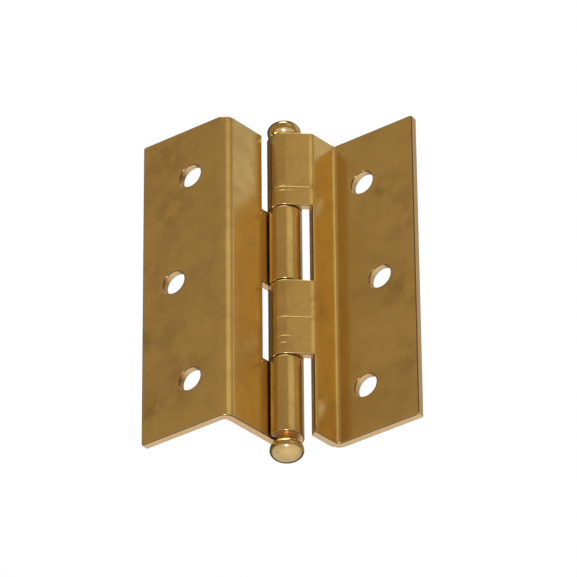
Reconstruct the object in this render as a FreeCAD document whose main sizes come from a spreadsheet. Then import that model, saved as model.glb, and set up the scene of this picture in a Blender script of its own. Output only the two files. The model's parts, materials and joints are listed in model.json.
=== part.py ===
"""Cranked door hinge: two bent leaves on a loose pin with ball tips.

Each piece is drawn about the pin axis at the leaves' mid-height. A placement then moves
the origin to the middle of the frame leaf's two outer screw holes, on the face that bears
on the timber. +Z runs up the pin, and both fixing plates lie parallel to the XZ plane.
"""
import FreeCAD, Part
import math
import os
import Sketcher

# Driving dimensions, in millimetres and degrees.
SIZES = {
    "leaf_height": 65.0,
    "sheet_thick": 1.6,
    "corner_round": 0.4,
    "knuckle_radius": 3.15,
    "knuckle_gap": 0.2,
    "curl_wrap": 295.0,
    "bend_inside": 0.8,
    "crank_angle": 82.0,
    "frame_crank": 13.5,
    "frame_reach": 22.2,
    "frame_notch_depth": 4.3,
    "sash_crank": 6.55,
    "sash_reach": 23.85,
    "sash_web_offset": 5.65,
    "sash_neck_angle": 40.0,
    "sash_neck_inside": 0.3,
    "sash_notch_angle": 56.0,
    "sash_notch_depth": 3.4,
    "hole_radius": 2.3,
    "frame_outer_inset": 10.6,
    "frame_middle_inset": 7.0,
    "sash_outer_inset": 11.2,
    "sash_middle_inset": 7.7,
    "hole_pitch": 22.1,
    "hole_drop": 0.1,
    "pin_radius": 1.5,
    "pin_point": 0.6,
    "pin_floor": 5.5,
    "spigot_length": 5.0,
    "tip_radius": 3.1,
    "tip_half_height": 1.85,
    "tip_neck_radius": 1.95,
    "head_lift": 1.95,
    "head_socket": 2.0,
    "foot_drop": 2.35,
}
BORE_RADIUS = "Sizes.knuckle_radius - Sizes.sheet_thick"
BEND_OUTSIDE = "Sizes.bend_inside + Sizes.sheet_thick"
NECK_OUTSIDE = "Sizes.sash_neck_inside + Sizes.sheet_thick"
KNUCKLE_PITCH = "Sizes.leaf_height / 4"
NOTCH_HALF_WIDTH = "Sizes.knuckle_radius * 1.5"
TOLERANCE = 1e-4
START, END, CENTRE = 1, 2, 3
ORIGIN = (-1, 1)


def make_sheet(doc):
    """Put the driving dimensions in a spreadsheet, one aliased cell each."""
    sheet = doc.addObject("Spreadsheet::Sheet", "Sizes")
    for row, (alias, value) in enumerate(SIZES.items(), start=1):
        sheet.set(f"A{row}", alias)
        sheet.set(f"B{row}", str(value))
        sheet.setAlias(f"B{row}", alias)
    doc.recompute()
    return sheet


def vector(x, y):
    """A point or a direction in a sketch."""
    return FreeCAD.Vector(x, y, 0)


def unit(degrees):
    """Unit vector at an angle from a sketch's X axis."""
    return vector(math.cos(math.radians(degrees)), math.sin(math.radians(degrees)))


def crossing(normal_a, distance_a, normal_b, distance_b):
    """Point at the given distances from the origin along two unit directions."""
    determinant = normal_a.x * normal_b.y - normal_a.y * normal_b.x
    x = (distance_a * normal_b.y - distance_b * normal_a.y) / determinant
    y = (normal_a.x * distance_b - normal_b.x * distance_a) / determinant
    return vector(x, y)


def new_sketch(body, name, plane):
    """Make a sketch on one of the body's own origin planes."""
    sketch = body.newObject("Sketcher::SketchObject", name)
    support = next(item for item in body.Origin.OriginFeatures if item.Role == plane)
    sketch.AttachmentSupport = [(support, "")]
    sketch.MapMode = "FlatFace"
    return sketch


def add_line(sketch, start, end):
    """Add a line to a sketch and return its number."""
    return sketch.addGeometry(Part.LineSegment(start, end), False)


def add_arc(sketch, centre, radius, start_angle, end_angle):
    """Add an anticlockwise arc to a sketch and return its number."""
    circle = Part.Circle(centre, FreeCAD.Vector(0, 0, 1), radius)
    arc = Part.ArcOfCircle(circle, math.radians(start_angle), math.radians(end_angle))
    return sketch.addGeometry(arc, False)


def bind(sketch, name, kind, where, expression):
    """Add a dimension whose value comes from the spreadsheet."""
    value = float(sketch.evalExpression(expression))
    if kind == "Angle":
        value = math.radians(value)
        expression = f"({expression}) * 1 deg"
    number = sketch.addConstraint(Sketcher.Constraint(kind, *where, value))
    sketch.renameConstraint(number, name)
    sketch.setExpression(f"Constraints.{name}", expression)


def relate(sketch, kind, *places):
    """Add one constraint of a kind, such as Tangent, at each place."""
    for place in places:
        sketch.addConstraint(Sketcher.Constraint(kind, *place))


def draw_frame_profile(sketch, size):
    """Outline of the frame leaf seen from above: plate, crank, web and curled knuckle."""
    bore = size.knuckle_radius - size.sheet_thick
    outside = size.bend_inside + size.sheet_thick
    web_side = size.crank_angle + 90
    curl_end = web_side - size.curl_wrap
    toward_web = unit(web_side)
    plate_front = -size.frame_crank
    bend_centre = crossing(
        toward_web, size.knuckle_radius + size.bend_inside, vector(0, 1), plate_front + outside
    )
    front_corner = vector(-size.frame_reach, plate_front)
    back_corner = vector(-size.frame_reach, plate_front + size.sheet_thick)
    down = vector(0, -1)

    front = add_line(sketch, front_corner, bend_centre + down * outside)
    front_bend = add_arc(sketch, bend_centre, outside, -90, web_side - 180)
    web_front = add_line(sketch, bend_centre - toward_web * outside, toward_web * bore)
    bore_arc = add_arc(sketch, vector(0, 0), bore, curl_end, web_side)
    lip = add_line(sketch, unit(curl_end) * bore, unit(curl_end) * size.knuckle_radius)
    knuckle = add_arc(sketch, vector(0, 0), size.knuckle_radius, curl_end, web_side)
    web_back = add_line(
        sketch, toward_web * size.knuckle_radius, bend_centre - toward_web * size.bend_inside
    )
    back_bend = add_arc(sketch, bend_centre, size.bend_inside, -90, web_side - 180)
    back = add_line(sketch, bend_centre + down * size.bend_inside, back_corner)
    edge = add_line(sketch, back_corner, front_corner)

    relate(
        sketch,
        "Tangent",
        (front, END, front_bend, START),
        (front_bend, END, web_front, START),
        (web_front, END, bore_arc, END),
        (knuckle, END, web_back, START),
        (web_back, END, back_bend, END),
        (back_bend, START, back, START),
    )
    relate(
        sketch,
        "Coincident",
        (bore_arc, START, lip, START),
        (lip, END, knuckle, START),
        (back, END, edge, START),
        (edge, END, front, START),
        (bore_arc, CENTRE, *ORIGIN),
        (knuckle, CENTRE, *ORIGIN),
        (front_bend, CENTRE, back_bend, CENTRE),
    )
    relate(sketch, "Horizontal", (front,), (back,))
    relate(sketch, "Vertical", (edge,))
    relate(sketch, "PointOnObject", (*ORIGIN, lip))
    bind(sketch, "bore", "Radius", (bore_arc,), BORE_RADIUS)
    bind(sketch, "knuckle", "Radius", (knuckle,), "Sizes.knuckle_radius")
    bind(sketch, "front_bend", "Radius", (front_bend,), BEND_OUTSIDE)
    bind(sketch, "back_bend", "Radius", (back_bend,), "Sizes.bend_inside")
    bind(sketch, "web", "Angle", (web_front,), "Sizes.crank_angle")
    bind(sketch, "lip", "Angle", (lip,), "Sizes.crank_angle + 90 - Sizes.curl_wrap")
    bind(sketch, "reach", "DistanceX", (front, START, *ORIGIN), "Sizes.frame_reach")
    bind(sketch, "crank", "DistanceY", (front, START, *ORIGIN), "Sizes.frame_crank")


def draw_sash_profile(sketch, size):
    """Outline of the sash leaf seen from above: plate, crank, web, neck and knuckle."""
    bore = size.knuckle_radius - size.sheet_thick
    outside = size.bend_inside + size.sheet_thick
    neck_inside = size.sash_neck_inside
    neck_outside = neck_inside + size.sheet_thick
    web_side = size.crank_angle - 90
    neck_side = size.sash_neck_angle - 90
    curl_end = neck_side - size.curl_wrap
    toward_web = unit(web_side)
    toward_neck = unit(neck_side)
    web_back_offset = size.sash_web_offset - size.sheet_thick
    neck_centre = crossing(
        toward_neck, bore - neck_inside, toward_web, web_back_offset - neck_inside
    )
    crank_centre = crossing(
        toward_web,
        size.sash_web_offset + size.bend_inside,
        vector(0, 1),
        size.sash_crank - size.bend_inside,
    )
    front_corner = vector(size.sash_reach, size.sash_crank)
    back_corner = vector(size.sash_reach, size.sash_crank + size.sheet_thick)
    upward = vector(0, 1)

    front = add_line(sketch, front_corner, crank_centre + upward * size.bend_inside)
    front_bend = add_arc(sketch, crank_centre, size.bend_inside, 90, web_side + 180)
    web_front = add_line(
        sketch,
        crank_centre - toward_web * size.bend_inside,
        neck_centre + toward_web * neck_outside,
    )
    neck_front = add_arc(sketch, neck_centre, neck_outside, neck_side, web_side)
    flat_front = add_line(
        sketch, neck_centre + toward_neck * neck_outside, toward_neck * size.knuckle_radius
    )
    knuckle = add_arc(
        sketch, vector(0, 0), size.knuckle_radius, curl_end + 360, neck_side + 360
    )
    lip = add_line(sketch, unit(curl_end) * size.knuckle_radius, unit(curl_end) * bore)
    bore_arc = add_arc(sketch, vector(0, 0), bore, curl_end + 360, neck_side + 360)
    flat_back = add_line(
        sketch, toward_neck * bore, neck_centre + toward_neck * neck_inside
    )
    neck_back = add_arc(sketch, neck_centre, neck_inside, neck_side, web_side)
    web_back = add_line(
        sketch, neck_centre + toward_web * neck_inside, crank_centre - toward_web * outside
    )
    back_bend = add_arc(sketch, crank_centre, outside, 90, web_side + 180)
    back = add_line(sketch, crank_centre + upward * outside, back_corner)
    edge = add_line(sketch, back_corner, front_corner)

    relate(
        sketch,
        "Tangent",
        (front, END, front_bend, START),
        (front_bend, END, web_front, START),
        (web_front, END, neck_front, END),
        (neck_front, START, flat_front, START),
        (flat_front, END, knuckle, END),
        (bore_arc, END, flat_back, START),
        (flat_back, END, neck_back, START),
        (neck_back, END, web_back, START),
        (web_back, END, back_bend, END),
        (back_bend, START, back, START),
    )
    relate(
        sketch,
        "Coincident",
        (knuckle, START, lip, START),
        (lip, END, bore_arc, START),
        (back, END, edge, START),
        (edge, END, front, START),
        (bore_arc, CENTRE, *ORIGIN),
        (knuckle, CENTRE, *ORIGIN),
        (front_bend, CENTRE, back_bend, CENTRE),
        (neck_front, CENTRE, neck_back, CENTRE),
    )
    relate(sketch, "Horizontal", (front,), (back,))
    relate(sketch, "Vertical", (edge,))
    relate(sketch, "PointOnObject", (*ORIGIN, lip))
    bind(sketch, "bore", "Radius", (bore_arc,), BORE_RADIUS)
    bind(sketch, "knuckle", "Radius", (knuckle,), "Sizes.knuckle_radius")
    bind(sketch, "front_bend", "Radius", (front_bend,), "Sizes.bend_inside")
    bind(sketch, "back_bend", "Radius", (back_bend,), BEND_OUTSIDE)
    bind(sketch, "neck_front", "Radius", (neck_front,), NECK_OUTSIDE)
    bind(sketch, "neck_back", "Radius", (neck_back,), "Sizes.sash_neck_inside")
    bind(sketch, "web", "Angle", (web_front,), "Sizes.crank_angle - 180")
    bind(sketch, "neck", "Angle", (flat_front,), "Sizes.sash_neck_angle - 180")
    bind(sketch, "lip", "Angle", (lip,), "Sizes.sash_neck_angle + 90 - Sizes.curl_wrap")
    bind(sketch, "web_offset", "Distance", (*ORIGIN, web_front), "Sizes.sash_web_offset")
    bind(sketch, "reach", "DistanceX", (*ORIGIN, front, START), "Sizes.sash_reach")
    bind(sketch, "crank", "DistanceY", (*ORIGIN, front, START), "Sizes.sash_crank")


def pad_profile(body, draw, size):
    """Extrude a leaf's outline over its full height, half each way from mid-height."""
    sketch = new_sketch(body, f"{body.Label}_profile", "XY_Plane")
    draw(sketch, size)
    pad = body.newObject("PartDesign::Pad", f"{body.Label}_sheet")
    pad.Profile = sketch
    pad.SideType = "Symmetric"
    pad.setExpression("Length", "Sizes.leaf_height")
    return pad


def draw_notch(sketch, angle, angle_rule, depth, depth_rule, half_width):
    """Rectangle round the pin axis, its far side at a depth along a direction."""
    along = unit(angle)
    across = unit(angle + 90)
    corners = [
        along * depth + across * half_width,
        along * -half_width + across * half_width,
        along * -half_width - across * half_width,
        along * depth - across * half_width,
    ]
    sides = [add_line(sketch, corners[i - 1], corners[i]) for i in range(len(corners))]
    wall, left, heel, right = sides
    relate(sketch, "Coincident", *[(sides[i - 1], END, sides[i], START) for i in range(4)])
    relate(sketch, "Perpendicular", (wall, left), (left, heel))
    relate(sketch, "Parallel", (left, right))
    bind(sketch, "turn", "Angle", (wall,), f"{angle_rule} + 90")
    bind(sketch, "depth", "Distance", (*ORIGIN, wall), depth_rule)
    bind(sketch, "left", "Distance", (*ORIGIN, left), NOTCH_HALF_WIDTH)
    bind(sketch, "heel", "Distance", (*ORIGIN, heel), NOTCH_HALF_WIDTH)
    bind(sketch, "right", "Distance", (*ORIGIN, right), NOTCH_HALF_WIDTH)


def cut_notches(body, size, turn, turn_rule, depth, depth_rule, first_knuckle):
    """Clear room for the other leaf's two knuckles, from a knuckle number upwards."""
    sketch = new_sketch(body, f"{body.Label}_notch_outline", "XY_Plane")
    half_width = size.knuckle_radius * 1.5
    draw_notch(sketch, turn, turn_rule, depth, depth_rule, half_width)
    level = f"({first_knuckle} - 2) * {KNUCKLE_PITCH} - Sizes.knuckle_gap / 2"
    sketch.setExpression(".AttachmentOffset.Base.z", level)
    notch = body.newObject("PartDesign::Pocket", f"{body.Label}_notch")
    notch.Profile = sketch
    notch.Reversed = True
    notch.setExpression("Length", f"{KNUCKLE_PITCH} + Sizes.knuckle_gap")
    body.Document.recompute()
    pattern = body.newObject("PartDesign::LinearPattern", f"{body.Label}_notches")
    pattern.Originals = [notch]
    pattern.Direction = (sketch, ["N_Axis"])
    pattern.Occurrences = 2
    pattern.setExpression("Length", f"{KNUCKLE_PITCH} * 2")
    body.Tip = pattern


def drill_plate(body, side, leaf):
    """Three screw holes through the plate, the middle one staggered outwards."""
    sketch = new_sketch(body, f"{body.Label}_hole_layout", "XZ_Plane")
    rows = {
        "upper": ("outer", "Sizes.hole_pitch - Sizes.hole_drop", 1),
        "middle": ("middle", "Sizes.hole_drop", -1),
        "lower": ("outer", "Sizes.hole_pitch + Sizes.hole_drop", -1),
    }
    for name, (column, rise_rule, upward) in rows.items():
        across_rule = f"Sizes.{leaf}_reach - Sizes.{leaf}_{column}_inset"
        across = float(sketch.evalExpression(across_rule)) * side
        rise = float(sketch.evalExpression(rise_rule)) * upward
        radius = float(sketch.evalExpression("Sizes.hole_radius"))
        circle = Part.Circle(vector(across, rise), FreeCAD.Vector(0, 0, 1), radius)
        hole = sketch.addGeometry(circle, False)
        centre = (hole, CENTRE)
        bind(sketch, f"{name}_radius", "Radius", (hole,), "Sizes.hole_radius")
        pair = (*ORIGIN, *centre) if side > 0 else (*centre, *ORIGIN)
        bind(sketch, f"{name}_across", "DistanceX", pair, across_rule)
        pair = (*ORIGIN, *centre) if upward > 0 else (*centre, *ORIGIN)
        bind(sketch, f"{name}_rise", "DistanceY", pair, rise_rule)
    holes = body.newObject("PartDesign::Pocket", f"{body.Label}_holes")
    holes.Profile = sketch
    holes.Type = "ThroughAll"
    holes.SideType = "Symmetric"
    return holes


def round_corners(body, base, edge_x, size):
    """Ease the two outer corners of the plate."""
    body.Document.recompute()
    corners = []
    for number, edge in enumerate(base.Shape.Edges, start=1):
        ends = [vertex.Point for vertex in edge.Vertexes]
        on_edge = all(abs(point.x - edge_x) < TOLERANCE for point in ends)
        on_end = all(abs(abs(point.z) - size.leaf_height / 2) < TOLERANCE for point in ends)
        if len(ends) == 2 and on_edge and on_end:
            corners.append(f"Edge{number}")
    fillet = body.newObject("PartDesign::Fillet", f"{body.Label}_corners")
    fillet.Base = (base, corners)
    fillet.setExpression("Radius", "Sizes.corner_round")
    body.Tip = fillet


def place(piece):
    """Move a piece from the pin axis to the row frame's origin."""
    piece.setExpression(".Placement.Base.x", "Sizes.frame_reach - Sizes.frame_outer_inset")
    piece.setExpression(".Placement.Base.y", "Sizes.frame_crank - Sizes.sheet_thick")
    piece.setExpression(".Placement.Base.z", "Sizes.hole_drop")


def make_frame_leaf(doc, size):
    """The leaf fixed to the frame, with the second and the lowest knuckle."""
    body = doc.addObject("PartDesign::Body", "frame_leaf")
    pad_profile(body, draw_frame_profile, size)
    turn = size.crank_angle + 180
    depth = size.frame_notch_depth
    rules = ("Sizes.crank_angle + 180", "Sizes.frame_notch_depth")
    cut_notches(body, size, turn, rules[0], depth, rules[1], first_knuckle=1)
    holes = drill_plate(body, -1, "frame")
    round_corners(body, holes, -size.frame_reach, size)
    place(body)
    return body


def make_sash_leaf(doc, size):
    """The leaf fixed to the sash, with the top and the third knuckle."""
    body = doc.addObject("PartDesign::Body", "sash_leaf")
    pad_profile(body, draw_sash_profile, size)
    turn = size.sash_notch_angle
    depth = size.sash_notch_depth
    rules = ("Sizes.sash_notch_angle", "Sizes.sash_notch_depth")
    cut_notches(body, size, turn, rules[0], depth, rules[1], first_knuckle=0)
    holes = drill_plate(body, 1, "sash")
    round_corners(body, holes, size.sash_reach, size)
    place(body)
    return body


def add_cylinder(doc, name, radius, foot, height):
    """Upright cylinder on the pin axis, its sizes given as expressions."""
    cylinder = doc.addObject("Part::Cylinder", name)
    cylinder.setExpression("Radius", radius)
    cylinder.setExpression("Height", height)
    cylinder.setExpression(".Placement.Base.z", foot)
    return cylinder


def add_ball(doc, name, centre):
    """Flattened ball on the pin axis."""
    ball = doc.addObject("Part::Ellipsoid", name)
    ball.setExpression("Radius1", "Sizes.tip_half_height")
    ball.setExpression("Radius2", "Sizes.tip_radius")
    ball.setExpression("Radius3", "Sizes.tip_radius")
    ball.setExpression(".Placement.Base.z", centre)
    return ball


def combine(doc, kind, label, base, tool):
    """Join or cut two shapes under a new label."""
    result = doc.addObject(kind, label)
    result.Base = base
    result.Tool = tool
    return result


def make_pin_shank(doc):
    """Steel pin with a pointed foot, from the head's socket to just above the lower tip."""
    foot = "Sizes.pin_floor + Sizes.pin_point - Sizes.leaf_height / 2"
    length = "Sizes.leaf_height - Sizes.pin_floor - Sizes.pin_point + Sizes.head_socket"
    rod = add_cylinder(doc, "pin_rod", "Sizes.pin_radius", foot, length)
    point = doc.addObject("Part::Cone", "pin_lead")
    point.setExpression("Radius1", "Sizes.pin_radius - Sizes.pin_point")
    point.setExpression("Radius2", "Sizes.pin_radius")
    point.setExpression("Height", "Sizes.pin_point")
    point.setExpression(".Placement.Base.z", "Sizes.pin_floor - Sizes.leaf_height / 2")
    shank = combine(doc, "Part::Fuse", "pin_shank", rod, point)
    place(shank)
    return shank


def make_pin_head(doc):
    """Ball tip on the top of the pin, with the socket that the pin is pressed into."""
    rest = "Sizes.leaf_height / 2"
    ball = add_ball(doc, "head_ball", f"{rest} + Sizes.head_lift")
    neck = add_cylinder(doc, "head_neck", "Sizes.tip_neck_radius", rest, "Sizes.head_lift")
    solid = combine(doc, "Part::Fuse", "head_solid", ball, neck)
    socket = add_cylinder(
        doc, "head_hole", "Sizes.pin_radius", f"{rest} - 1", "Sizes.head_socket + 1"
    )
    head = combine(doc, "Part::Cut", "pin_head", solid, socket)
    place(head)
    return head


def make_lower_tip(doc):
    """Ball tip on a spigot that is pressed up into the lowest knuckle."""
    centre = "-Sizes.leaf_height / 2 - Sizes.foot_drop"
    ball = add_ball(doc, "foot_ball", centre)
    neck = add_cylinder(doc, "foot_neck", "Sizes.tip_neck_radius", centre, "Sizes.foot_drop")
    solid = combine(doc, "Part::Fuse", "foot_solid", ball, neck)
    spigot = add_cylinder(
        doc, "foot_spigot", BORE_RADIUS, centre, "Sizes.foot_drop + Sizes.spigot_length"
    )
    tip = combine(doc, "Part::Fuse", "lower_tip", solid, spigot)
    place(tip)
    return tip


def check(doc, pieces):
    """Stop if any object failed, or if a piece isn't one sound solid."""
    for item in doc.Objects:
        if "Invalid" in item.State or "Error" in item.State:
            raise RuntimeError(f"{item.Label} is {item.State}")
    for piece in pieces:
        shape = piece.Shape
        if shape.isNull() or not shape.isValid() or len(shape.Solids) != 1:
            raise RuntimeError(f"{piece.Label} is not one valid solid")


def main():
    """Build every piece and write one STEP file for each."""
    doc = FreeCAD.newDocument("hinge")
    size = make_sheet(doc)
    pieces = [
        make_frame_leaf(doc, size),
        make_sash_leaf(doc, size),
        make_pin_shank(doc),
        make_pin_head(doc),
        make_lower_tip(doc),
    ]
    doc.recompute()
    check(doc, pieces)
    os.makedirs("parts", exist_ok=True)
    for piece in pieces:
        piece.Shape.exportStep(f"parts/{piece.Label}.step")
        print(f"{piece.Label}: {piece.Shape.Volume:.1f} mm3, {piece.Shape.BoundBox}")


main()
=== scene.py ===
"""Looks of a cranked brass door hinge: two pressed leaves, a loose pin and its two ball tips.

Lengths are millimetres about the pin's axis, with height measured from the middle of the leaves,
until a finished mesh is placed in the row frame, which is in metres.
"""

import json
import logging
import math
from collections.abc import Mapping, Sequence
from dataclasses import dataclass, field
from enum import Enum
from typing import Any

import bmesh
import bpy
from mathutils import Matrix, Vector, noise

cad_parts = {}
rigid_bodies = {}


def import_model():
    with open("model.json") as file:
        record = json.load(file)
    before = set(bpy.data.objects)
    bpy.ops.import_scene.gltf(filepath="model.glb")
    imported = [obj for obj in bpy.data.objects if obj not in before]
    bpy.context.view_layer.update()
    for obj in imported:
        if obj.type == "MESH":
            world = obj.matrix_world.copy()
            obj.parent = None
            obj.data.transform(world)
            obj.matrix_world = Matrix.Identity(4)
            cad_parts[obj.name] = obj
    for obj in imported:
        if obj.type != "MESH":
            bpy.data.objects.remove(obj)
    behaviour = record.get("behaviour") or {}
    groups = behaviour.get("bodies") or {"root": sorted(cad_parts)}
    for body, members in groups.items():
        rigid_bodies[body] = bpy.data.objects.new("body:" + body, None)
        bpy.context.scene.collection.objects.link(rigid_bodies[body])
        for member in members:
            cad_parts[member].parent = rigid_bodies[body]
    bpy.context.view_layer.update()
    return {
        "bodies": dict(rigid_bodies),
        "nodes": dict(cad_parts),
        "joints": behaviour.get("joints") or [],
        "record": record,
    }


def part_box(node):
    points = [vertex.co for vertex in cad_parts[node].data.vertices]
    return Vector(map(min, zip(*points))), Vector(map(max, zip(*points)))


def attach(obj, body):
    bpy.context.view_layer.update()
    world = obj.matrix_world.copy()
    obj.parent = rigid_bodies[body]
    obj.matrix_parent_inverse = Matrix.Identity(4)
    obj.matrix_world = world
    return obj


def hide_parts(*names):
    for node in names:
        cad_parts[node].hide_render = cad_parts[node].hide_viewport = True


log = logging.getLogger("hinge")

MILLIMETRE = 0.001
Colour = tuple[float, float, float]


class Finish(Enum):
    """The record's material slots."""

    SHEET = "brass_sheet"
    TIP = "brass_tip"
    WIRE = "pin_steel"


# Shader building


class Signal:
    """An output socket that Python's operators can work on."""

    def __init__(self, graph: "NodeGraph", socket: bpy.types.NodeSocket) -> None:
        """Wrap a socket of a graph."""
        self.graph = graph
        self.socket = socket

    def maths(self, operation: str, *values: "Signal | float") -> "Signal":
        """Add a Math node.

        Args:
            operation: The Math node's operation.
            values: Its inputs, in order.

        Returns:
            The node's output.
        """
        return self.graph.add("ShaderNodeMath", {"operation": operation}, dict(enumerate(values)))

    def __add__(self, other: "Signal | float") -> "Signal":
        """Sum."""
        return self.maths("ADD", self, other)

    def __radd__(self, other: float) -> "Signal":
        """Sum with a number on the left."""
        return self.maths("ADD", other, self)

    def __sub__(self, other: "Signal | float") -> "Signal":
        """Difference."""
        return self.maths("SUBTRACT", self, other)

    def __rsub__(self, other: float) -> "Signal":
        """Difference from a number on the left."""
        return self.maths("SUBTRACT", other, self)

    def __mul__(self, other: "Signal | float") -> "Signal":
        """Product."""
        return self.maths("MULTIPLY", self, other)

    def __rmul__(self, other: float) -> "Signal":
        """Product with a number on the left."""
        return self.maths("MULTIPLY", other, self)

    def step(self, low: float, high: float) -> "Signal":
        """Rise smoothly from 0 at low to 1 at high.

        Args:
            low: Value that gives 0.
            high: Value that gives 1.

        Returns:
            The smoothed value.
        """
        settings = {"interpolation_type": "SMOOTHSTEP"}
        return self.graph.add("ShaderNodeMapRange", settings, {0: self, 1: low, 2: high})


class NodeGraph:
    """The nodes of one material or of the world."""

    def __init__(self, owner: bpy.types.Material | bpy.types.World) -> None:
        """Empty the owner's node tree."""
        owner.use_nodes = True
        self.tree = owner.node_tree
        self.tree.nodes.clear()

    def add(
        self,
        kind: str,
        settings: Mapping[str, Any] | None = None,
        inputs: Mapping[str | int, Any] | None = None,
        output: str | int = 0,
    ) -> Signal:
        """Add one node.

        Args:
            kind: The node's type.
            settings: Properties set before any input.
            inputs: Values or signals, by socket name or number.
            output: The output socket wanted.

        Returns:
            That output.
        """
        node = self.tree.nodes.new(kind)
        for name, value in (settings or {}).items():
            setattr(node, name, value)
        for key, value in (inputs or {}).items():
            if isinstance(value, Signal):
                self.tree.links.new(value.socket, node.inputs[key])
            else:
                node.inputs[key].default_value = value
        return Signal(self, node.outputs[output] if node.outputs else None)

    def mix(self, share: Signal | float, first: Any, second: Any) -> Signal:
        """Mix two colours.

        Args:
            share: 0 gives the first, 1 the second.
            first: Colour or signal.
            second: Colour or signal.

        Returns:
            The mixed colour.
        """
        colours = {6: opaque(first), 7: opaque(second)}
        return self.add("ShaderNodeMix", {"data_type": "RGBA"}, {0: share, **colours}, 2)

    def noise(self, place: Signal, size: float, detail: float = 2.0) -> Signal:
        """Add a cloudy noise.

        Args:
            place: Coordinates in metres.
            size: Width of one cloud in millimetres.
            detail: Octaves of finer noise.

        Returns:
            The noise, about 0.25 to 0.75.
        """
        inputs = {"Vector": place, "Scale": 1 / (size * MILLIMETRE), "Detail": detail}
        return self.add("ShaderNodeTexNoise", None, inputs)

    def stretch(self, place: Signal, factors: Sequence[float]) -> Signal:
        """Scale coordinates, so that a pattern is drawn out along some axes."""
        settings = {"operation": "MULTIPLY"}
        return self.add("ShaderNodeVectorMath", settings, {0: place, 1: tuple(factors)})

    def bump(self, height: Signal, depth: float, below: Signal | None = None) -> Signal:
        """Add a bump.

        Args:
            height: Height of the relief, 0 to 1.
            depth: Depth in millimetres that 0 to 1 stands for.
            below: A normal to start from.

        Returns:
            The bumped normal.
        """
        inputs: dict[str, Any] = {"Height": height, "Distance": depth * MILLIMETRE, "Strength": 1.0}
        if below is not None:
            inputs["Normal"] = below
        return self.add("ShaderNodeBump", None, inputs)


def opaque(colour: Any) -> Any:
    """Add full alpha to a plain colour, and leave a signal as it is."""
    return colour if isinstance(colour, Signal) else (*colour, 1.0)


# Finishes


@dataclass(frozen=True)
class SheetBrass:
    """Rolled brass sheet, polished and lacquered, with cloudy tarnish, paler sheared edges and a painted
    dark line of shade along each rounded rim.
    """

    stains: tuple[Vector, ...]
    name: str = "brass sheet"
    bright: Colour = (0.775, 0.55, 0.21)
    tarnished: Colour = (0.50, 0.32, 0.12)
    sheared: Colour = (0.70, 0.47, 0.24)
    # Colour of the painted shade that darkens the rounded rims.
    painted_rim_shade: Colour = (0.10, 0.06, 0.028)
    gloss: float = 0.17
    tarnished_gloss: float = 0.29
    sheared_gloss: float = 0.36
    stain_size: float = 6.5
    cloud_size: float = 13.0
    smudge_size: float = 3.2
    fleck_size: float = 0.8
    dimple_size: float = 1.6
    dimple_depth: float = 0.012
    rolled_size: float = 2.2
    rolled_depth: float = 0.004
    scuff_size: float = 3.0
    scuff_depth: float = 0.0015
    lacquer: float = 0.15
    lacquer_gloss: float = 0.12

    def stained(self, graph: NodeGraph, place: Signal) -> Signal:
        """Add up the handling stains, each fading out from its centre.

        Args:
            graph: The material's nodes.
            place: Object coordinates.

        Returns:
            How stained the surface is, 0 to 1.
        """
        total: Signal | float = 0.0
        for centre in self.stains:
            settings = {"operation": "DISTANCE"}
            away = graph.add("ShaderNodeVectorMath", settings, {0: place, 1: tuple(centre)}, "Value")
            total = total + away.step(self.stain_size * MILLIMETRE, 0.0)
        return total

    def build(self) -> bpy.types.Material:
        """Make the material."""
        material = bpy.data.materials.new(self.name)
        graph = NodeGraph(material)
        place = graph.add("ShaderNodeTexCoord", None, None, "Object")
        flat = graph.add("ShaderNodeUVMap", {"uv_map": SheetLeaf.UV_NAME})
        cut = graph.add("ShaderNodeAttribute", {"attribute_name": SheetLeaf.CUT_NAME}, None, "Fac")
        clouds = graph.noise(place, self.cloud_size, 3.0).step(0.36, 0.68)
        smudges = graph.noise(place, self.smudge_size, 4.0).step(0.36, 0.70)
        spots = self.stained(graph, place) * smudges
        tarnish = clouds * 0.32 + smudges * 0.22 + spots * 0.55
        flecks = graph.noise(place, self.fleck_size, 3.0).step(0.50, 0.75)
        rolled = graph.noise(graph.stretch(flat, (1.0, 12.0, 1.0)), self.rolled_size, 3.0)
        colour = graph.mix(tarnish * 0.9 + flecks * 0.16, self.bright, self.tarnished)
        # Painted shade: a dark line over the rounded rims, between the flat face and the sheared wall, mixed
        # in two lines below.
        line = cut.step(0.0, 0.06) * (1.0 - cut.step(0.75, 1.0))
        colour = graph.mix(cut.step(0.6, 1.0), colour, self.sheared)
        colour = graph.mix(line * 0.92, colour, self.painted_rim_shade)
        spread = self.tarnished_gloss - self.gloss
        rough = self.gloss + tarnish * spread + rolled * 0.03
        rough = rough + cut * (self.sheared_gloss - self.gloss)
        normal = graph.bump(graph.noise(place, self.dimple_size), self.dimple_depth)
        normal = graph.bump(rolled, self.rolled_depth, normal)
        scuffs = graph.noise(graph.stretch(flat, (30.0, 1.0, 1.0)), self.scuff_size).step(0.66, 0.70)
        normal = graph.bump(scuffs, self.scuff_depth, normal)
        inputs = {
            "Base Color": colour,
            "Metallic": 1.0,
            "Roughness": rough,
            "Coat Weight": self.lacquer,
            "Coat Roughness": self.lacquer_gloss,
            "Normal": normal,
        }
        shader = graph.add("ShaderNodeBsdfPrincipled", None, inputs)
        graph.add("ShaderNodeOutputMaterial", None, {"Surface": shader})
        return material


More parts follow.
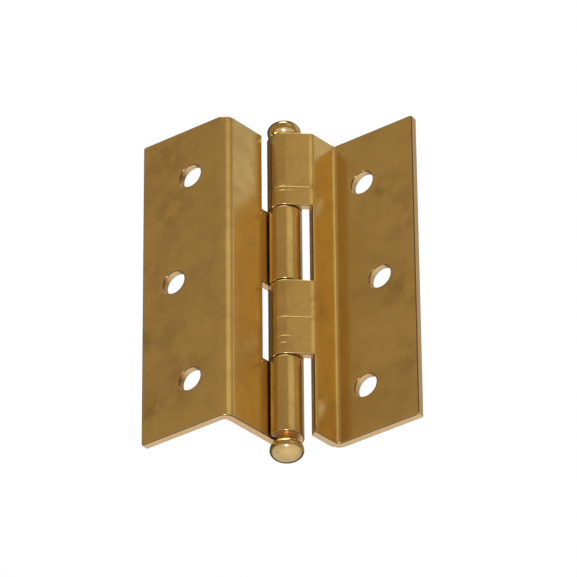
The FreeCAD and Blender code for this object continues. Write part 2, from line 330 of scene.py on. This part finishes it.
@dataclass(frozen=True)
class TurnedBrass:
    """Brass turned on a lathe and polished, with fine rings about the pin's axis."""

    name: str = "turned brass"
    bright: Colour = (0.66, 0.46, 0.19)
    tarnished: Colour = (0.40, 0.25, 0.10)
    gloss: float = 0.11

    def build(self) -> bpy.types.Material:
        """Make the material."""
        material = bpy.data.materials.new(self.name)
        graph = NodeGraph(material)
        place = graph.add("ShaderNodeTexCoord", None, None, "Object")
        stains = graph.noise(place, 2.4, 4.0).step(0.42, 0.72)
        colour = graph.mix(stains * 0.7, self.bright, self.tarnished)
        rings = graph.noise(graph.stretch(place, (0.02, 0.02, 1.0)), 0.12, 2.0)
        inputs = {
            "Base Color": colour,
            "Metallic": 1.0,
            "Roughness": self.gloss + stains * 0.10 + rings * 0.04,
            "Coat Weight": 0.25,
            "Coat Roughness": 0.05,
            "Normal": graph.bump(rings, 0.0012),
        }
        shader = graph.add("ShaderNodeBsdfPrincipled", None, inputs)
        graph.add("ShaderNodeOutputMaterial", None, {"Surface": shader})
        return material


@dataclass(frozen=True)
class DrawnSteel:
    """Bright steel wire with fine lines along it and a little grease stain."""

    name: str = "drawn steel"
    bright: Colour = (0.56, 0.55, 0.53)
    stained: Colour = (0.30, 0.26, 0.21)
    gloss: float = 0.22

    def build(self) -> bpy.types.Material:
        """Make the material."""
        material = bpy.data.materials.new(self.name)
        graph = NodeGraph(material)
        place = graph.add("ShaderNodeTexCoord", None, None, "Object")
        stains = graph.noise(place, 3.5, 4.0).step(0.45, 0.75)
        lines = graph.noise(graph.stretch(place, (1.0, 1.0, 0.02)), 0.12, 2.0)
        inputs = {
            "Base Color": graph.mix(stains * 0.8, self.bright, self.stained),
            "Metallic": 1.0,
            "Roughness": self.gloss + stains * 0.15 + lines * 0.05,
            "Normal": graph.bump(lines, 0.003),
        }
        shader = graph.add("ShaderNodeBsdfPrincipled", None, inputs)
        graph.add("ShaderNodeOutputMaterial", None, {"Surface": shader})
        return material


# Places


def unit(degrees: float) -> Vector:
    """Return the level unit vector at an angle from the right, counter-clockwise from above."""
    angle = math.radians(degrees)
    return Vector((math.cos(angle), math.sin(angle)))


@dataclass(frozen=True)
class Datum:
    """The pin's axis and the leaves' mid-height in the row frame, in metres."""

    origin: Vector

    @classmethod
    def from_frame(cls, frame: Mapping[str, Any]) -> "Datum":
        """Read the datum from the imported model.


        Returns:
            The datum.
        """
        axis = next(joint["pos_m"] for joint in frame["joints"] if joint["name"] == "sash_swing")
        low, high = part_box("frame_leaf")
        return cls(Vector((axis[0], axis[1], (low.z + high.z) / 2)))

    def local(self, point: Sequence[float]) -> Vector:
        """Turn a point of the row frame into millimetres about the pin."""
        return (Vector(point) - self.origin) / MILLIMETRE

    def place(self, point: Sequence[float]) -> Vector:
        """Turn a point in millimetres about the pin into one of the row frame."""
        return self.origin + Vector(point) * MILLIMETRE

    def finish(self, mesh: bmesh.types.BMesh, name: str) -> bpy.types.Object:
        """Place a mesh in the row frame and make an object of it.

        Args:
            mesh: The mesh, in millimetres about the pin. It is freed.
            name: The piece's name.

        Returns:
            The object, at the origin and smooth shaded.
        """
        matrix = Matrix.Translation(self.origin) @ Matrix.Scale(MILLIMETRE, 4)
        bmesh.ops.transform(mesh, matrix=matrix, verts=mesh.verts)
        for face in mesh.faces:
            face.smooth = True
        data = bpy.data.meshes.new(name)
        mesh.to_mesh(data)
        mesh.free()
        piece = bpy.data.objects.new(name, data)
        bpy.context.scene.collection.objects.link(piece)
        return piece


def dress(piece: bpy.types.Object, body: str, node: str, look: bpy.types.Material) -> None:
    """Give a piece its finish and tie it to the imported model.

    Args:
        piece: The finished piece.
        body: The body that it moves with.
        node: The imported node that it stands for.
        look: Its material.
    """
    piece.data.materials.append(look)
    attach(piece, body)
    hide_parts(node)
    log.info("%s: %d faces, moves with %s", piece.name, len(piece.data.polygons), body)


# Leaves


@dataclass(frozen=True)
class Stretch:
    """One stretch of a sheet's middle line: its length, and how far it turns to the left."""

    length: float
    turn: float = 0.0

    @classmethod
    def bend(cls, radius: float, degrees: float) -> "Stretch":
        """Make a round stretch from its radius and its turn."""
        turn = math.radians(degrees)
        return cls(radius * abs(turn), turn)


@dataclass(frozen=True)
class SheetPath:
    """The line that a bent sheet's middle follows, seen from above.

    Attributes:
        start: Where the line starts.
        heading: Its first direction, in radians.
        stretches: Its straight and round stretches, in order.
    """

    start: Vector
    heading: float
    stretches: tuple[Stretch, ...]

    ARC_STEP = math.radians(4.5)
    FLAT_STEP = 2.0

    @property
    def length(self) -> float:
        """The sheet's developed length."""
        return sum(stretch.length for stretch in self.stretches)

    def before(self, number: int) -> float:
        """Return the developed length before a stretch, counted from 0."""
        return sum(stretch.length for stretch in self.stretches[:number])

    def at(self, along: float, lift: float) -> Vector:
        """Find a point of the bent sheet.

        Args:
            along: Developed distance from the start.
            lift: Height to the left of the middle line.

        Returns:
            The point seen from above.
        """
        point, heading, left = self.start, self.heading, along
        for number, stretch in enumerate(self.stretches):
            part = left
            if left > stretch.length and number < len(self.stretches) - 1:
                part = stretch.length
            if stretch.turn:
                radius = stretch.length / stretch.turn
                centre = point + self.side(heading) * radius
                heading += part / radius
                point = centre - self.side(heading) * radius
            else:
                point = point + Vector((math.cos(heading), math.sin(heading))) * part
            left -= part
            if left <= 0:
                break
        return point + self.side(heading) * lift

    @staticmethod
    def side(heading: float) -> Vector:
        """Return the unit vector to the left of a heading."""
        return Vector((-math.sin(heading), math.cos(heading)))

    def cuts(self) -> list[float]:
        """List the developed distances where the sheet needs a row of edges to bend well."""
        found: list[float] = []
        for number, stretch in enumerate(self.stretches):
            steps = math.ceil(max(abs(stretch.turn) / self.ARC_STEP, stretch.length / self.FLAT_STEP))
            first = self.before(number)
            found += [first + stretch.length * step / steps for step in range(steps + 1)]
        return found[1:-1]


@dataclass(frozen=True)
class Witness:
    """A fine raised line that the forming tool left round a knuckle, level all along."""

    height: float
    first: float
    last: float
    rise: float = 0.05
    half_width: float = 0.16


@dataclass
class SheetLeaf:
    """A leaf pressed from one sheet: a screw plate, a crank, and two knuckles curled round the pin.

    The blank is made flat, with its developed length along X and its height along Y, and is bent
    along a path that starts at the knuckles' lips.
    """

    name: str
    path: SheetPath
    notch_end: float
    rows: tuple[int, int]
    holes: tuple[Vector, ...]
    witnesses: tuple[Witness, ...] = ()
    height: float = 65.0
    thickness: float = 1.6
    gap: float = 0.2
    hole_radius: float = 2.3
    window: float = 3.1
    corner: float = 0.4
    rim: float = 0.24
    ripple: float = 0.022
    ripple_size: float = 17.0

    UV_NAME = "flat_pattern"
    CUT_NAME = "sheared_edge"
    ROWS = 4
    HOLE_SIDES = 48
    RIM_STEPS = 4
    CORNER_STEPS = 4
    SLIVER = 0.001

    def row_ends(self, row: int) -> tuple[float, float]:
        """Return a knuckle's lower and upper ends, with half the gap off each end inside the hinge."""
        pitch = self.height / self.ROWS
        low, high = -self.height / 2 + row * pitch, -self.height / 2 + (row + 1) * pitch
        low += self.gap / 2 if row > 0 else 0.0
        high -= self.gap / 2 if row < self.ROWS - 1 else 0.0
        return low, high

    @staticmethod
    def cut(
        mesh: bmesh.types.BMesh,
        axis: int,
        place: float,
        faces: Sequence[Any] | None = None,
    ) -> None:
        """Cut faces along a line of constant X or Y.

        Args:
            mesh: The blank.
            axis: 0 for a constant X, 1 for a constant Y.
            place: Where the line is.
            faces: The faces to cut, or all of them.
        """
        chosen = list(faces) if faces is not None else list(mesh.faces)
        edges = {edge for face in chosen for edge in face.edges}
        corners = {corner for face in chosen for corner in face.verts}
        normal = Vector((1, 0, 0)) if axis == 0 else Vector((0, 1, 0))
        bmesh.ops.bisect_plane(
            mesh,
            geom=[*chosen, *edges, *corners],
            dist=SheetLeaf.SLIVER,
            plane_co=normal * place,
            plane_no=normal,
        )

    def blank(self) -> bmesh.types.BMesh:
        """Make the flat outline with its knuckle notches."""
        mesh = bmesh.new()
        bmesh.ops.create_grid(mesh, x_segments=1, y_segments=1, size=0.5)
        bmesh.ops.scale(mesh, vec=(self.path.length, self.height, 1), verts=mesh.verts)
        bmesh.ops.translate(mesh, vec=(self.path.length / 2, 0, 0), verts=mesh.verts)
        self.cut(mesh, 0, self.notch_end)
        ends = [self.row_ends(row) for row in self.rows]
        for end in sorted({end for pair in ends for end in pair if abs(end) < self.height / 2}):
            tongues = [face for face in mesh.faces if face.calc_center_median().x < self.notch_end]
            self.cut(mesh, 1, end, tongues)
        spare = []
        for face in mesh.faces:
            middle = face.calc_center_median()
            if middle.x < self.notch_end and not any(low < middle.y < high for low, high in ends):
                spare.append(face)
        bmesh.ops.delete(mesh, geom=spare, context="FACES")
        return mesh

    def round_corners(self, mesh: bmesh.types.BMesh) -> None:
        """Round the two free corners of the screw plate."""
        edge, end = self.path.length - self.SLIVER, self.height / 2 - self.SLIVER
        corners = [v for v in mesh.verts if v.co.x > edge and abs(v.co.y) > end]
        bmesh.ops.bevel(
            mesh,
            geom=corners,
            offset=self.corner,
            segments=self.CORNER_STEPS,
            profile=0.5,
            affect="VERTICES",
            material=-1,
        )

    def punch(self, mesh: bmesh.types.BMesh, centre: Vector) -> None:
        """Punch one round screw hole.

        Args:
            mesh: The flat outline.
            centre: The hole's centre on the flat pattern.
        """
        for place in (centre.y - self.window, centre.y + self.window):
            self.cut(mesh, 1, place, [face for face in mesh.faces if self.crosses(face, 1, place)])
        for place in (centre.x - self.window, centre.x + self.window):
            band = [
                face
                for face in mesh.faces
                if self.crosses(face, 0, place) and abs(face.calc_center_median().y - centre.y) < self.window
            ]
            self.cut(mesh, 0, place, band)
        window = min(mesh.faces, key=lambda face: (face.calc_center_median().xy - centre).length)
        border = list(window.edges)
        bmesh.ops.delete(mesh, geom=[window], context="FACES_ONLY")
        split = bmesh.ops.subdivide_edges(mesh, edges=border, cuts=self.HOLE_SIDES // 4 - 1)
        border = [item for item in split["geom"] if isinstance(item, bmesh.types.BMEdge)]
        border = [edge for edge in border if len(edge.link_faces) == 1 and self.near(edge, centre)]
        made = bmesh.ops.extrude_edge_only(mesh, edges=border)
        for corner in made["geom"]:
            if isinstance(corner, bmesh.types.BMVert):
                away = (corner.co.xy - centre).normalized() * self.hole_radius
                corner.co.xy = centre + away

    def near(self, edge: bmesh.types.BMEdge, centre: Vector) -> bool:
        """Tell whether an edge lies on the window round a hole."""
        middle = (edge.verts[0].co + edge.verts[1].co).xy / 2 - centre
        return abs(max(abs(middle.x), abs(middle.y)) - self.window) < self.SLIVER * 10

    @staticmethod
    def crosses(face: bmesh.types.BMFace, axis: int, place: float) -> bool:
        """Tell whether a face lies on both sides of a line of constant X or Y."""
        along = [corner.co[axis] for corner in face.verts]
        return min(along) < place < max(along)

    def thicken(self, mesh: bmesh.types.BMesh) -> None:
        """Give the sheet its thickness, centred on its middle, and round every rim."""
        bmesh.ops.recalc_face_normals(mesh, faces=mesh.faces)
        made = bmesh.ops.extrude_face_region(mesh, geom=mesh.faces[:], use_keep_orig=True)
        risen = [item for item in made["geom"] if isinstance(item, bmesh.types.BMVert)]
        bmesh.ops.translate(mesh, vec=(0, 0, self.thickness), verts=risen)
        bmesh.ops.translate(mesh, vec=(0, 0, -self.thickness / 2), verts=mesh.verts)
        bmesh.ops.recalc_face_normals(mesh, faces=mesh.faces)
        rims = [
            edge
            for edge in mesh.edges
            if len(edge.link_faces) == 2
            and abs(abs(edge.link_faces[0].normal.z) - abs(edge.link_faces[1].normal.z)) > 0.5
        ]
        bmesh.ops.bevel(
            mesh,
            geom=rims,
            offset=self.rim,
            segments=self.RIM_STEPS,
            profile=0.5,
            affect="EDGES",
            material=-1,
        )

    def divide(self, mesh: bmesh.types.BMesh) -> None:
        """Add the rows of edges that the bends, the ripple and the witness lines need."""
        for place in self.path.cuts():
            self.cut(mesh, 0, place, [face for face in mesh.faces if self.crosses(face, 0, place)])
        levels = round(self.height / SheetPath.FLAT_STEP)
        places = [self.height * (level / levels - 0.5) for level in range(1, levels)]
        for line in self.witnesses:
            places += [line.height + line.half_width * share for share in (-1, -0.5, 0, 0.5, 1)]
        for place in places:
            self.cut(mesh, 1, place, [face for face in mesh.faces if self.crosses(face, 1, place)])

    def lift_of(self, point: Vector) -> float:
        """Work out how far the face stands off the flat pattern's own plane at a point.

        Args:
            point: A point of the flat solid.

        Returns:
            The extra height, from the sheet's slow ripple and its witness lines.
        """
        seed = Vector((point.x, point.y, self.rows[0] * 7.0)) / self.ripple_size
        extra = noise.noise(seed) * self.ripple if point.x > self.notch_end else 0.0
        if point.z < -self.thickness / 2 + self.SLIVER:
            for line in self.witnesses:
                off = abs(point.y - line.height) / line.half_width
                ends = min(point.x - line.first, line.last - point.x) / 1.5
                extra -= line.rise * max(0.0, 1 - off) * min(1.0, max(0.0, ends))
        return extra

    def form(self, mesh: bmesh.types.BMesh) -> None:
        """Mark the flat pattern and the sheared edges on the solid, then bend it along the path."""
        flat = mesh.loops.layers.uv.new(self.UV_NAME)
        cut = mesh.verts.layers.float.new(self.CUT_NAME)
        for face in mesh.faces:
            for loop in face.loops:
                loop[flat].uv = loop.vert.co.xy * MILLIMETRE
        for corner in mesh.verts:
            depth = self.thickness / 2 - abs(corner.co.z)
            corner[cut] = min(1.0, depth / self.rim) ** 2
            spot = self.path.at(corner.co.x, corner.co.z + self.lift_of(corner.co))
            corner.co = (spot.x, spot.y, corner.co.y)

    def build(self, datum: Datum) -> bpy.types.Object:
        """Make the leaf.

        Args:
            datum: Where the pin is.

        Returns:
            The finished piece.
        """
        mesh = self.blank()
        self.round_corners(mesh)
        for hole in self.holes:
            self.punch(mesh, hole)
        self.thicken(mesh)
        self.divide(mesh)
        self.form(mesh)
        bmesh.ops.remove_doubles(mesh, verts=mesh.verts, dist=self.SLIVER / 10)
        bmesh.ops.recalc_face_normals(mesh, faces=mesh.faces)
        piece = datum.finish(mesh, self.name)
        weighted = piece.modifiers.new("even faces", "WEIGHTED_NORMAL")
        weighted.keep_sharp = False
        return piece


@dataclass(frozen=True)
class Knuckle:
    """Sizes that both leaves' knuckles share."""

    radius: float = 3.15
    thickness: float = 1.6
    wrap: float = 295.0
    bend_inside: float = 0.8
    crank_turn: float = 82.0

    @property
    def middle(self) -> float:
        """Radius of the curl's middle line."""
        return self.radius - self.thickness / 2

    @property
    def bend_middle(self) -> float:
        """Radius of a bend's middle line."""
        return self.bend_inside + self.thickness / 2


@dataclass
class FrameSide:
    """The leaf that is screwed to the frame: its web runs straight off the knuckle."""

    screws: tuple[Vector, ...]
    free_edge: float
    curl: Knuckle = field(default_factory=Knuckle)
    crank: float = 13.5
    notch_depth: float = 4.3
    foot_angle: float = 172.0

    def leaf(self) -> SheetLeaf:
        """Work out the leaf's path and its holes."""
        web = unit(self.foot_angle + 90)
        inside = self.curl.middle + self.curl.bend_middle
        centre = unit(self.foot_angle) * inside
        outside = self.curl.bend_inside + self.curl.thickness
        web_length = (centre.y + self.crank - outside) / -web.y
        centre = centre + web * web_length
        plate = centre.x - self.free_edge
        start = unit(self.foot_angle - self.curl.wrap)
        stretches = (
            Stretch.bend(self.curl.middle, self.curl.wrap),
            Stretch(web_length),
            Stretch.bend(self.curl.bend_middle, -self.curl.crank_turn),
            Stretch(plate),
        )
        heading = math.radians(self.foot_angle - self.curl.wrap + 90)
        path = SheetPath(start * self.curl.middle, heading, stretches)
        flat = path.before(3)
        holes = tuple(Vector((flat + centre.x - screw.x, screw.z)) for screw in self.screws)
        return SheetLeaf("frame_leaf_sheet", path, path.before(1) + self.notch_depth, (0, 2), holes)


@dataclass
class SashSide:
    """The leaf that is screwed to the sash: a short neck leads from the knuckle to its web."""

    screws: tuple[Vector, ...]
    free_edge: float
    curl: Knuckle = field(default_factory=Knuckle)
    crank: float = 6.55
    web_offset: float = 5.65
    neck_angle: float = 40.0
    neck_inside: float = 0.3
    notch_angle: float = 56.0
    marks: tuple[tuple[float, float, float], ...] = (
        (20.25, 8.0, 20.0),
        (19.4, 8.0, 16.0),
        (-8.3, 8.0, 21.0),
        (-12.4, 9.0, 15.0),
        (-13.9, 9.5, 13.5),
    )

    def leaf(self) -> SheetLeaf:
        """Work out the leaf's path, its holes and its witness lines."""
        across = unit(self.curl.crank_turn - 90)
        neck, along = unit(self.neck_angle), unit(self.curl.crank_turn)
        neck_bend = self.neck_inside + self.curl.thickness / 2
        foot = unit(self.neck_angle - 90) * (self.curl.middle - neck_bend)
        neck_reach = self.web_offset - self.neck_inside - self.curl.thickness
        neck_length = (neck_reach - foot.dot(across)) / neck.dot(across)
        neck_centre = foot + neck * neck_length
        crank_x = self.web_offset + self.curl.bend_inside
        crank_y = self.crank - self.curl.bend_inside
        crank_centre = Vector(((crank_x - crank_y * across.y) / across.x, crank_y))
        web_length = (crank_centre - neck_centre).dot(along)
        first = self.neck_angle - 90 - self.curl.wrap
        stretches = (
            Stretch.bend(self.curl.middle, self.curl.wrap),
            Stretch(neck_length),
            Stretch.bend(neck_bend, self.curl.crank_turn - self.neck_angle),
            Stretch(web_length),
            Stretch.bend(self.curl.bend_middle, -self.curl.crank_turn),
            Stretch(self.free_edge - crank_centre.x),
        )
        path = SheetPath(unit(first) * self.curl.middle, math.radians(first + 90), stretches)
        flat = path.before(5)
        holes = tuple(Vector((flat + screw.x - crank_centre.x, screw.z)) for screw in self.screws)
        notch = path.before(2) + neck_bend * math.radians(self.notch_angle - self.neck_angle)
        lines = tuple(Witness(*mark) for mark in self.marks)
        return SheetLeaf("sash_leaf_sheet", path, notch, (1, 3), holes, lines)


# Turned pieces


@dataclass(frozen=True)
class BallTip:
    """A flattened ball on a short neck, turned about the pin's axis.

    Attributes:
        centre: Height of the ball's widest place.
        rest: Height of the knuckle's end that the neck meets.
        stem: Radius and far end of the spigot, or of the socket for the pin.
        is_socket: Whether the stem is a socket inside the ball.
    """

    centre: float
    rest: float
    stem: tuple[float, float]
    is_socket: bool
    radius: float = 3.1
    half_height: float = 1.85
    shoulder: float = 2.42
    neck: float = 1.95
    land: float = 0.28
    chamfer: float = 0.12
    turns: int = 96
    arc_steps: int = 28

    def profile(self) -> list[Vector]:
        """List the outline's corners from the free pole to the far end, as radius and height."""
        away = 1.0 if self.centre > self.rest else -1.0
        top = math.pi / 2 - self.land / self.radius
        low = -math.acos(self.neck / self.radius)
        points = [Vector((0.0, self.centre + away * self.half_height * math.sin(top)))]
        for step in range(self.arc_steps + 1):
            angle = top + (low - top) * step / self.arc_steps
            height = self.half_height if angle > 0 else self.shoulder
            rise = away * height * math.sin(angle)
            points.append(Vector((self.radius * math.cos(angle), self.centre + rise)))
        width, end = self.stem
        points.append(Vector((self.neck, self.rest + away * self.chamfer)))
        points.append(Vector((self.neck - self.chamfer, self.rest)))
        points.append(Vector((width, self.rest)))
        if not self.is_socket:
            points.append(Vector((width, end + away * self.chamfer)))
            width -= self.chamfer
        points.append(Vector((width, end)))
        points.append(Vector((0.0, end)))
        return points

    def build(self, datum: Datum, name: str) -> bpy.types.Object:
        """Turn the tip.

        Args:
            datum: Where the pin is.
            name: The piece's name.

        Returns:
            The finished piece.
        """
        return turn_outline(datum, name, self.profile(), self.turns)


@dataclass(frozen=True)
class PinRod:
    """The loose pin: a plain rod with a chamfered foot, pressed into the upper ball tip."""

    foot: float
    top: float
    radius: float
    lead: float = 0.6
    turns: int = 64

    def build(self, datum: Datum, name: str) -> bpy.types.Object:
        """Turn the rod.

        Args:
            datum: Where the pin is.
            name: The piece's name.

        Returns:
            The finished piece.
        """
        outline = [
            Vector((0.0, self.foot)),
            Vector((self.radius - self.lead, self.foot)),
            Vector((self.radius - self.lead * 0.15, self.foot + self.lead)),
            Vector((self.radius, self.foot + self.lead * 1.5)),
            Vector((self.radius, self.top)),
            Vector((0.0, self.top)),
        ]
        return turn_outline(datum, name, outline, self.turns)


def turn_outline(datum: Datum, name: str, outline: Sequence[Vector], turns: int) -> bpy.types.Object:
    """Spin an outline of radius and height a full turn about the pin's axis.

    Args:
        datum: Where the pin is.
        name: The piece's name.
        outline: Corners from one pole to the other.
        turns: Faces round the piece.

    Returns:
        The finished piece.
    """
    mesh = bmesh.new()
    corners = [mesh.verts.new((point.x, 0, point.y)) for point in outline]
    edges = [mesh.edges.new(pair) for pair in zip(corners, corners[1:])]
    bmesh.ops.spin(
        mesh,
        geom=[*corners, *edges],
        cent=(0, 0, 0),
        axis=(0, 0, 1),
        angle=math.tau,
        steps=turns,
        use_merge=True,
    )
    bmesh.ops.remove_doubles(mesh, verts=mesh.verts, dist=0.0005)
    bmesh.ops.recalc_face_normals(mesh, faces=mesh.faces)
    piece = datum.finish(mesh, name)
    weighted = piece.modifiers.new("even faces", "WEIGHTED_NORMAL")
    weighted.keep_sharp = False
    return piece


# The hinge


@dataclass
class Hinge:
    """The whole hinge at rest."""

    datum: Datum
    record: Mapping[str, Any]
    stains: tuple[Vector, ...] = (
        Vector((-16.5, -13.5, 28.0)),
        Vector((-15.0, -13.5, 16.5)),
        Vector((-19.0, -13.5, -25.0)),
        Vector((15.8, 6.6, 19.0)),
        Vector((21.0, 6.6, -4.0)),
        Vector((-20.5, -13.5, 3.0)),
        Vector((-21.0, -13.5, -12.0)),
        Vector((-12.0, -13.5, -22.0)),
        Vector((23.0, 6.6, 11.0)),
        Vector((22.5, 6.6, -20.0)),
        Vector((6.0, 1.0, -6.0)),
    )
    pin_radius: float = 1.5
    head_lift: float = 1.95
    head_socket: float = 2.0
    foot_drop: float = 2.35
    spigot: float = 5.0

    def screws(self, side: str) -> tuple[Vector, ...]:
        """Find a leaf's three screw holes from the record's mounts.

        Args:
            side: "frame" or "sash".

        Returns:
            Their centres in millimetres about the pin.
        """
        mounts = {mount["name"]: mount for mount in self.record["mounts"]}
        pair, middle = mounts[f"{side}_screws"], mounts[f"{side}_middle_screw"]
        half = pair["dims"]["spacing_y_mm"] / 2
        centre = self.datum.local(pair["pos_m"])
        outer = [centre + Vector((0, 0, way * half)) for way in (-1, 1)]
        return (*outer, self.datum.local(middle["pos_m"]))

    def build(self) -> None:
        """Make and dress the five pieces."""
        sheet = SheetBrass(tuple(self.datum.place(spot) for spot in self.stains)).build()
        turned = TurnedBrass().build()
        wire = DrawnSteel().build()
        left = self.datum.local(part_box("frame_leaf")[0]).x
        right = self.datum.local(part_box("sash_leaf")[1]).x
        frame_leaf = FrameSide(self.screws("frame"), left).leaf()
        sash_leaf = SashSide(self.screws("sash"), right).leaf()
        for leaf, node in ((frame_leaf, "frame_leaf"), (sash_leaf, "sash_leaf")):
            dress(leaf.build(self.datum), node, node, sheet)
        half = frame_leaf.height / 2
        head_stem = (self.pin_radius, half + self.head_socket)
        head = BallTip(half + self.head_lift, half, head_stem, True)
        foot_stem = (self.pin_radius, -half + self.spigot)
        foot = BallTip(-half - self.foot_drop, -half, foot_stem, False)
        dress(head.build(self.datum, "pin_ball"), "pin", "pin_head", turned)
        dress(foot.build(self.datum, "lower_ball"), "frame_leaf", "lower_tip", turned)
        low, high = (self.datum.local(corner).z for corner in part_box("pin_shank"))
        rod = PinRod(low, high, self.pin_radius).build(self.datum, "pin_rod")
        dress(rod, "pin", "pin_shank", wire)


# Studio


@dataclass(frozen=True)
class Lamp:
    """A round soft lamp that faces the hinge: angles in degrees, distances in metres."""

    name: str
    azimuth: float
    elevation: float
    far: float
    size: float
    watts: float


@dataclass(frozen=True)
class Wall:
    """A patch of the surroundings that the metal mirrors.

    Attributes:
        azimuth: Its middle's angle about the hinge.
        elevation: Its middle's angle above the level.
        inner: Angle from its middle within which it is full strength.
        outer: Angle from its middle where it has faded out.
        gain: What it adds to the strength of the light.
    """

    azimuth: float
    elevation: float
    inner: float
    outer: float
    gain: float


@dataclass(frozen=True)
class Studio:
    """A pale floor, soft light and the camera.

    Attributes:
        target: The point that the camera looks at.
        azimuth: The camera's angle about the hinge, 0 in front and 90 on the right.
        elevation: Its angle above the level.
        roll: How far it leans.
        distance: Its distance from the target.
        lens: Its focal length in millimetres.
        floor: The floor's height.
    """

    target: Vector
    azimuth: float = 34.76
    elevation: float = -34.03
    roll: float = -0.55
    distance: float = 0.9815
    lens: float = 338.4
    floor: float = -1.0
    lamps: tuple[Lamp, ...] = (
        Lamp("front lamp", 33.0, -34.0, 0.93, 0.05, 6.0),
        Lamp("top lamp", 20.0, 74.0, 1.6, 0.9, 6.0),
    )
    ambient: float = 0.38
    warm: Colour = (1.0, 0.79, 0.49)
    backdrop: Wall = Wall(150.0, 33.0, 22.0, 40.0, 0.34)
    backdrop_tint: Colour = (1.0, 0.94, 0.82)
    side_wall: Wall = Wall(68.0, 32.0, 12.0, 22.0, 0.31)
    side_tint: Colour = (1.0, 0.90, 0.62)
    dark_wall: Wall = Wall(-145.0, 40.0, 30.0, 85.0, -0.30)

    @staticmethod
    def direction(azimuth: float, elevation: float) -> Vector:
        """Return the unit vector towards an azimuth and elevation."""
        across, up = math.radians(azimuth), math.radians(elevation)
        level = math.cos(up)
        return Vector((level * math.sin(across), -level * math.cos(across), math.sin(up)))

    def add_camera(self) -> None:
        """Place the camera."""
        data = bpy.data.cameras.new("camera")
        data.lens = self.lens
        data.sensor_width = 36.0
        data.clip_start = 0.05
        data.clip_end = 20.0
        camera = bpy.data.objects.new("camera", data)
        bpy.context.scene.collection.objects.link(camera)
        towards = self.direction(self.azimuth, self.elevation)
        turn = (-towards).to_track_quat("-Z", "Y").to_matrix().to_4x4()
        lean = Matrix.Rotation(math.radians(self.roll), 4, "Z")
        camera.matrix_world = Matrix.Translation(self.target + towards * self.distance) @ turn @ lean
        bpy.context.scene.camera = camera

    def add_lamp(self, lamp: Lamp) -> None:
        """Hang one lamp."""
        data = bpy.data.lights.new(lamp.name, "AREA")
        data.shape = "DISK"
        data.size = lamp.size
        data.energy = lamp.watts
        holder = bpy.data.objects.new(lamp.name, data)
        bpy.context.scene.collection.objects.link(holder)
        towards = self.direction(lamp.azimuth, lamp.elevation)
        turn = towards.to_track_quat("Z", "Y").to_matrix().to_4x4()
        holder.matrix_world = Matrix.Translation(self.target + towards * lamp.far) @ turn
        holder.visible_camera = False

    def add_floor(self) -> None:
        """Lay the pale floor."""
        mesh = bmesh.new()
        bmesh.ops.create_grid(mesh, x_segments=1, y_segments=1, size=6.0)
        bmesh.ops.translate(mesh, vec=(0, 0, self.floor), verts=mesh.verts)
        data = bpy.data.meshes.new("floor")
        mesh.to_mesh(data)
        mesh.free()
        floor = bpy.data.objects.new("floor", data)
        bpy.context.scene.collection.objects.link(floor)
        material = bpy.data.materials.new("pale floor")
        graph = NodeGraph(material)
        place = graph.add("ShaderNodeTexCoord", None, None, "Object")
        cloud = graph.noise(place, 400.0, 3.0)
        colour = graph.mix(cloud, (0.80, 0.80, 0.79), (0.84, 0.84, 0.83))
        shader = graph.add("ShaderNodeBsdfPrincipled", None, {"Base Color": colour, "Roughness": 0.7})
        graph.add("ShaderNodeOutputMaterial", None, {"Surface": shader})
        data.materials.append(material)

    def add_world(self) -> None:
        """Surround the hinge with soft light: white to look at, and shaded where metal mirrors it."""
        world = bpy.data.worlds.new("studio")
        bpy.context.scene.world = world
        graph = NodeGraph(world)
        way = graph.add("ShaderNodeTexCoord", None, None, "Generated")
        mirrored = graph.add("ShaderNodeLightPath", None, None, "Is Glossy Ray")

        def reach(wall: Wall) -> Signal:
            """Return 1 within a wall's inner angle, falling to 0 at its outer."""
            towards = self.direction(wall.azimuth, wall.elevation)
            inputs = {0: way, 1: tuple(towards)}
            settings = {"operation": "DOT_PRODUCT"}
            near = graph.add("ShaderNodeVectorMath", settings, inputs, "Value")
            return near.step(math.cos(math.radians(wall.outer)), math.cos(math.radians(wall.inner)))

        backdrop, side_wall = reach(self.backdrop), reach(self.side_wall)
        shade = self.ambient + backdrop * self.backdrop.gain + side_wall * self.side_wall.gain
        shade = shade + reach(self.dark_wall) * self.dark_wall.gain
        tint = graph.mix(side_wall, self.warm, self.side_tint)
        tint = graph.mix(backdrop, tint, self.backdrop_tint)
        colour = graph.mix(mirrored, (1.0, 1.0, 1.0), tint)
        strength = mirrored * shade + (1.0 - mirrored)
        light = graph.add("ShaderNodeBackground", None, {"Color": colour, "Strength": strength})
        graph.add("ShaderNodeOutputWorld", None, {"Surface": light})

    def build(self) -> None:
        """Set up the whole studio."""
        self.add_camera()
        self.add_floor()
        for lamp in self.lamps:
            self.add_lamp(lamp)
        self.add_world()
        bpy.context.scene.view_settings.view_transform = "Standard"


def main() -> None:
    """Build the hinge and its studio, and report the pieces."""
    logging.basicConfig(level=logging.INFO, format="%(name)s: %(message)s")
    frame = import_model()
    datum = Datum.from_frame(frame)
    Hinge(datum, frame["record"]).build()
    Studio(datum.origin + Vector((0.00045, 0.00033, -0.0001))).build()


if __name__ == "__main__":
    main()
